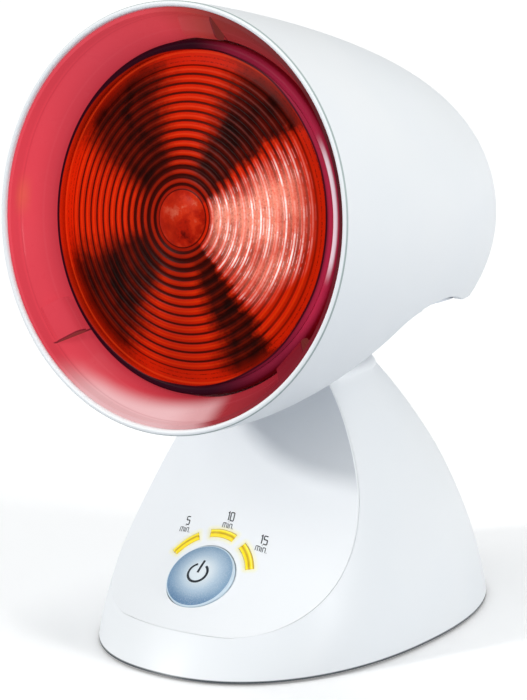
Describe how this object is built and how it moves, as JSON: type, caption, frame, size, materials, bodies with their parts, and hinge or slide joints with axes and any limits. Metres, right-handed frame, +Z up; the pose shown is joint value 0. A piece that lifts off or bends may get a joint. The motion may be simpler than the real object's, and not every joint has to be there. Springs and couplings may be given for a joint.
{
  "type": "infrared heat therapy lamp",
  "caption": "White tabletop infrared heat therapy lamp: a bullet-shaped tilting head with a ringed red heat bulb, on an oval domed base with a round power button and lit timer arcs",
  "frame": {"origin": "on the standing surface, under the middle of the base's oval footprint", "axes": "+Z up; -Y is the way the lamp shines; the plane x = 0 splits the lamp into its left and right halves"},
  "size_m": [0.1466, 0.1704, 0.2326],
  "materials": {
    "housing_white": "glossy white moulding, cool in the shade",
    "panel_white": "high-gloss white moulding",
    "cover_grey": "pale satin moulding",
    "liner_red": "heat-resistant glossy ring, red in the lamp's light",
    "lens_red": "pressed ruby glass with concentric rings",
    "bulb_mirror": "glass with a mirrored coat",
    "bulb_brass": "bright brass",
    "glass_clear": "clear glass",
    "tungsten": "dull grey wire",
    "ceramic": "glazed white ceramic",
    "steel": "zinc-plated steel",
    "button_blue": "pearl blue-grey that pales to the middle",
    "lamp_yellow": "translucent yellow, glowing",
    "rubber_black": "matte black rubber",
    "board_green": "green circuit board laminate",
    "plastic_black": "black moulded plastic",
    "relay_blue": "blue moulded plastic"
  },
  "bodies": {
    "base": {"base_shell": "housing_white", "front_panel": "panel_white", "control_board": "board_green", "push_switch": "plastic_black", "floor_plate": "plastic_black", "supply_board": "board_green", "supply_transformer": "plastic_black", "lamp_relay": "relay_blue", "cord_terminal": "ceramic", "smoothing_capacitor": "plastic_black", "cord_inlet": "rubber_black", "detent_pawl": "steel", "light_guide_five": "lamp_yellow", "light_guide_ten": "lamp_yellow", "light_guide_fifteen": "lamp_yellow", "foot_front_left": "rubber_black", "base_screw_front_left": "steel", "foot_front_right": "rubber_black", "base_screw_front_right": "steel", "foot_rear_left": "rubber_black", "base_screw_rear_left": "steel", "foot_rear_right": "rubber_black", "base_screw_rear_right": "steel", "board_screw_1": "steel", "supply_screw_1": "steel", "board_screw_2": "steel", "supply_screw_2": "steel", "board_screw_3": "steel", "supply_screw_3": "steel", "board_screw_4": "steel", "supply_screw_4": "steel"},
    "head": {"head_shell": "housing_white", "underside_cover": "cover_grey", "liner_ring": "liner_red", "bulb_lens": "lens_red", "bulb_bowl": "bulb_mirror", "bulb_cap": "bulb_brass", "cap_insulator": "plastic_black", "cap_contact": "steel", "filament_stem": "glass_clear", "filament": "tungsten", "lampholder": "ceramic", "holder_contact": "bulb_brass", "holder_plate": "steel", "holder_screw_left": "steel", "holder_screw_right": "steel", "plate_screw_left": "steel", "plate_screw_right": "steel", "cover_screw_front_left": "steel", "cover_screw_front_right": "steel", "cover_screw_rear_left": "steel", "cover_screw_rear_right": "steel", "tilt_axle": "steel", "spring_washer": "steel", "axle_nut": "steel", "detent_disc": "steel"},
    "button": {"power_button": "button_blue", "switch_plunger": "plastic_black"}
  },
  "joints": [
    {"name": "head_tilt", "type": "hinge", "parent": "base", "child": "head", "pos_m": [0, 0.01476, 0.10951], "axis": [-1, 0, 0], "range_deg": [-10, 30]},
    {"name": "power_press", "type": "slide", "parent": "base", "child": "button", "axis": [0, 0.6394, -0.7689], "range_m": [0, 0.0009], "stiffness_N_per_m": 450, "springref_m": -0.0004}
  ]
}
